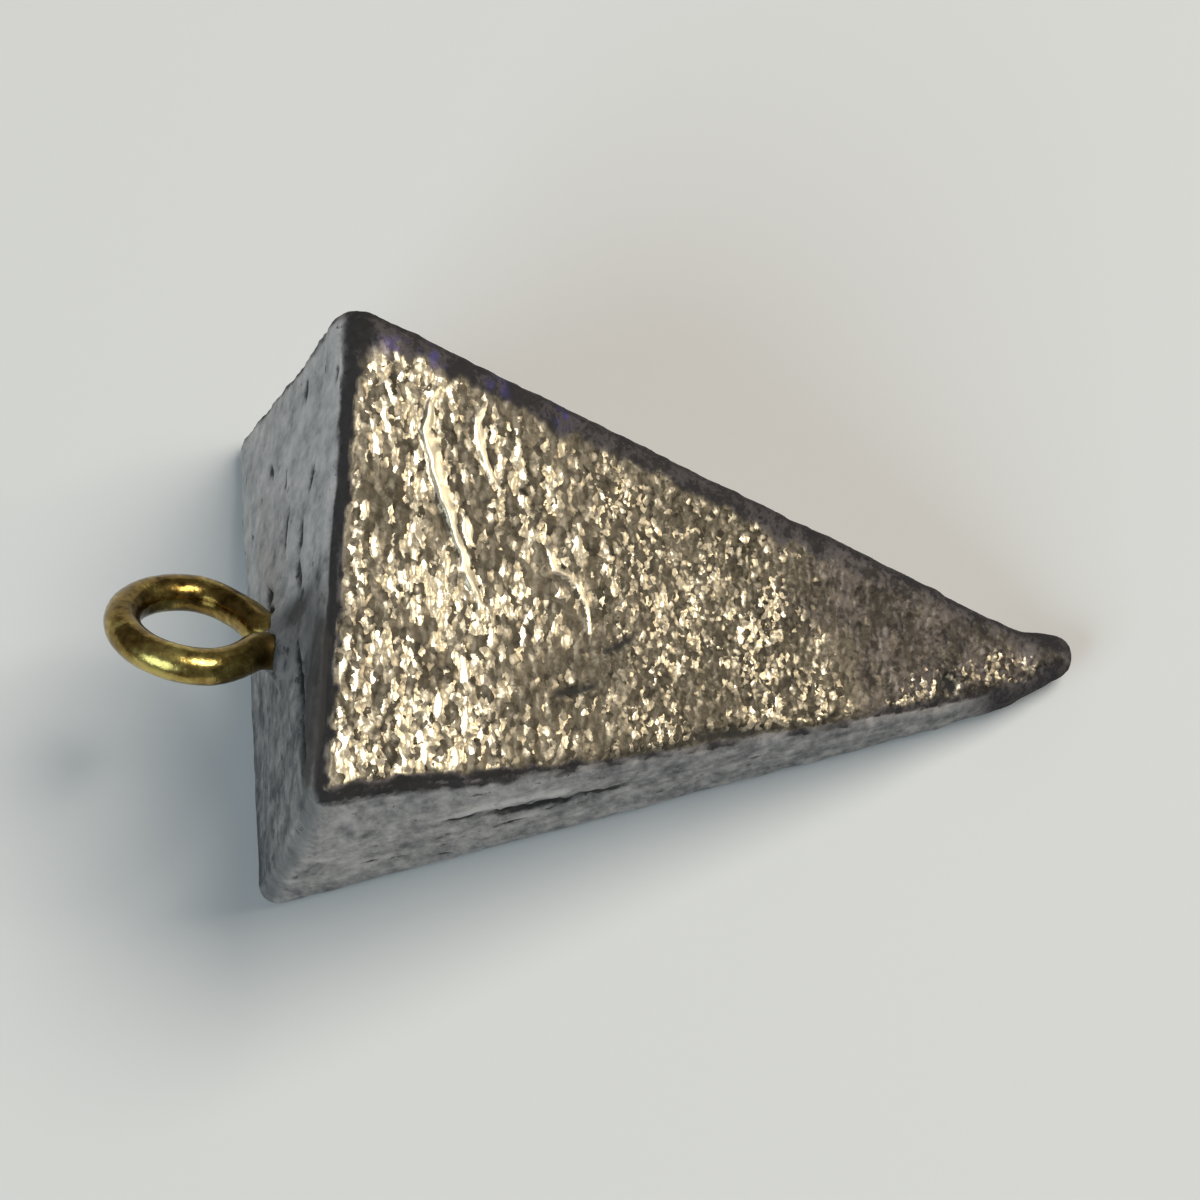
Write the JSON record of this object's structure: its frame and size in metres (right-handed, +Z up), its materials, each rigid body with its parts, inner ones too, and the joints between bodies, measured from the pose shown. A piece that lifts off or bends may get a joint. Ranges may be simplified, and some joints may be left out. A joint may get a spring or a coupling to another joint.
{
  "type": "pyramid fishing sinker",
  "caption": "Cast lead pyramid weight with a square ridged base, a blunt nose and a bent wire eye cast into the base, for holding a fishing line on the bottom.",
  "frame": {"origin": "under the middle of the whole sinker, at the level of the surface that it lies on", "axes": "+X from the eye to the nose, +Y away from the viewer, +Z up from the side that it lies on"},
  "size_m": [0.044, 0.0234, 0.0226],
  "materials": {
    "cast_lead": "raw cast lead, dull grey with a coarse sparkling grain",
    "brass_wire": "drawn wire with a dull brown patina"
  },
  "bodies": {
    "root": {"lead_body": "cast_lead", "wire_eye": "brass_wire"}
  },
  "joints": []
}
